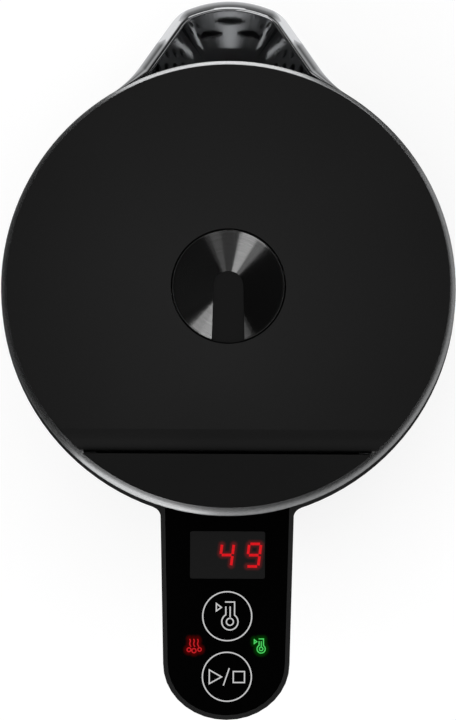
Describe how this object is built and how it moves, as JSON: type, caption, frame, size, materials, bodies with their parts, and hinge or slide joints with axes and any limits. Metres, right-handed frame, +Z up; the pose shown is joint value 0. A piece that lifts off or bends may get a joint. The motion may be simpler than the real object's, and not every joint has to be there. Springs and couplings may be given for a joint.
{
  "type": "electric kettle",
  "caption": "Cordless electric kettle on a round power base: steel pot and spout, black shell, latched hinged lid with press button, handle with touch panel.",
  "frame": {"origin": "on the vertical axis of the jug and its connector, at table level under the foot ring", "axes": "+Z up, +Y from the axis to the spout, -Y to the handle, +X to the right seen from the handle"},
  "size_m": [0.154, 0.2262, 0.2371],
  "materials": {
    "lid_black": "fine satin moulded black",
    "shell_black": "fine satin moulded black",
    "button_black": "spun gloss black",
    "panel_black": "high-gloss black touch panel",
    "frame_grey": "satin dark grey",
    "window_smoke": "smoked display window",
    "steel_polished": "polished stainless steel",
    "steel_satin": "satin stainless steel",
    "steel_zinc": "zinc-plated steel",
    "spring_steel": "drawn spring wire",
    "aluminium": "cast aluminium",
    "contact_brass": "plated contact brass",
    "bimetal": "bimetal disc and can",
    "inner_black": "plain moulded dark grey",
    "inner_grey": "glass-filled dark plastic",
    "latch_natural": "natural acetal",
    "rubber_black": "matt rubber",
    "silicone_grey": "grey food silicone",
    "pcb_green": "solder-masked board",
    "component_black": "moulded component",
    "led_clear": "clear lamp plastic",
    "cable_grey": "flat cable insulation",
    "lead_red": "silicone wire sleeve",
    "lead_brown": "wire insulation"
  },
  "bodies": {
    "base": {"base_top": "shell_black", "base_bottom": "shell_black", "base_socket": "inner_grey", "socket_contacts": "contact_brass", "foot_ring": "rubber_black", "base_screws": "steel_zinc", "cord_gland": "rubber_black", "base_leads": "lead_brown"},
    "connector": {"connector_housing": "inner_grey", "connector_pins": "contact_brass"},
    "jug": {"outer_shell": "shell_black", "inner_pot": "steel_satin", "rim_ring": "steel_polished", "rim_seal": "silicone_grey", "spout": "steel_polished", "heater_plate": "aluminium", "heating_element": "steel_satin", "boil_dry_cutouts": "bimetal", "temperature_sensor": "steel_satin", "power_board": "pcb_green", "power_relay": "component_black", "heater_leads": "lead_red", "bottom_cover": "inner_black", "bottom_screws": "steel_zinc", "handle_shell": "shell_black", "handle_inner_cover": "shell_black", "handle_frame": "frame_grey", "control_panel": "panel_black", "display_window": "window_smoke", "display_module": "component_black", "control_board": "pcb_green", "touch_springs": "spring_steel", "indicator_leds": "led_clear", "light_pipes": "led_clear", "buzzer": "component_black", "ribbon_cable": "cable_grey", "handle_screws": "steel_zinc", "rear_deck": "lid_black", "hinge_pins": "steel_satin", "hinge_springs": "spring_steel"},
    "lid": {"lid_top": "lid_black", "lid_underside": "inner_black", "lid_seal": "silicone_grey", "lid_screws": "steel_zinc"},
    "button": {"press_button": "button_black", "button_spring": "spring_steel"},
    "left_latch": {"latch_left": "latch_natural"},
    "right_latch": {"latch_right": "latch_natural"}
  },
  "joints": [
    {"name": "jug_lift", "type": "slide", "parent": "base", "child": "connector", "axis": [0, 0, 1], "range_m": [0, 0.06]},
    {"name": "jug_turn", "type": "hinge", "parent": "connector", "child": "jug", "pos_m": [0, 0, 0.018], "axis": [0, 0, 1], "continuous": true},
    {"name": "lid_hinge", "type": "hinge", "parent": "jug", "child": "lid", "pos_m": [0, -0.04813, 0.2331], "axis": [1, 0, 0], "range_deg": [0, 80]},
    {"name": "button_press", "type": "slide", "parent": "lid", "child": "button", "axis": [0, 0, -1], "range_m": [0, 0.0025], "stiffness_N_per_m": 500, "springref_m": -0.002, "deforming": ["button_spring"]},
    {"name": "left_latch_slide", "type": "slide", "parent": "lid", "child": "left_latch", "axis": [1, 0, 0], "range_m": [0, 0.0025]},
    {"name": "right_latch_slide", "type": "slide", "parent": "lid", "child": "right_latch", "axis": [-1, 0, 0], "range_m": [0, 0.0025]}
  ],
  "couplings": [
    {"joint": "left_latch_slide", "follows": "button_press", "ratio": 1},
    {"joint": "right_latch_slide", "follows": "button_press", "ratio": 1}
  ]
}
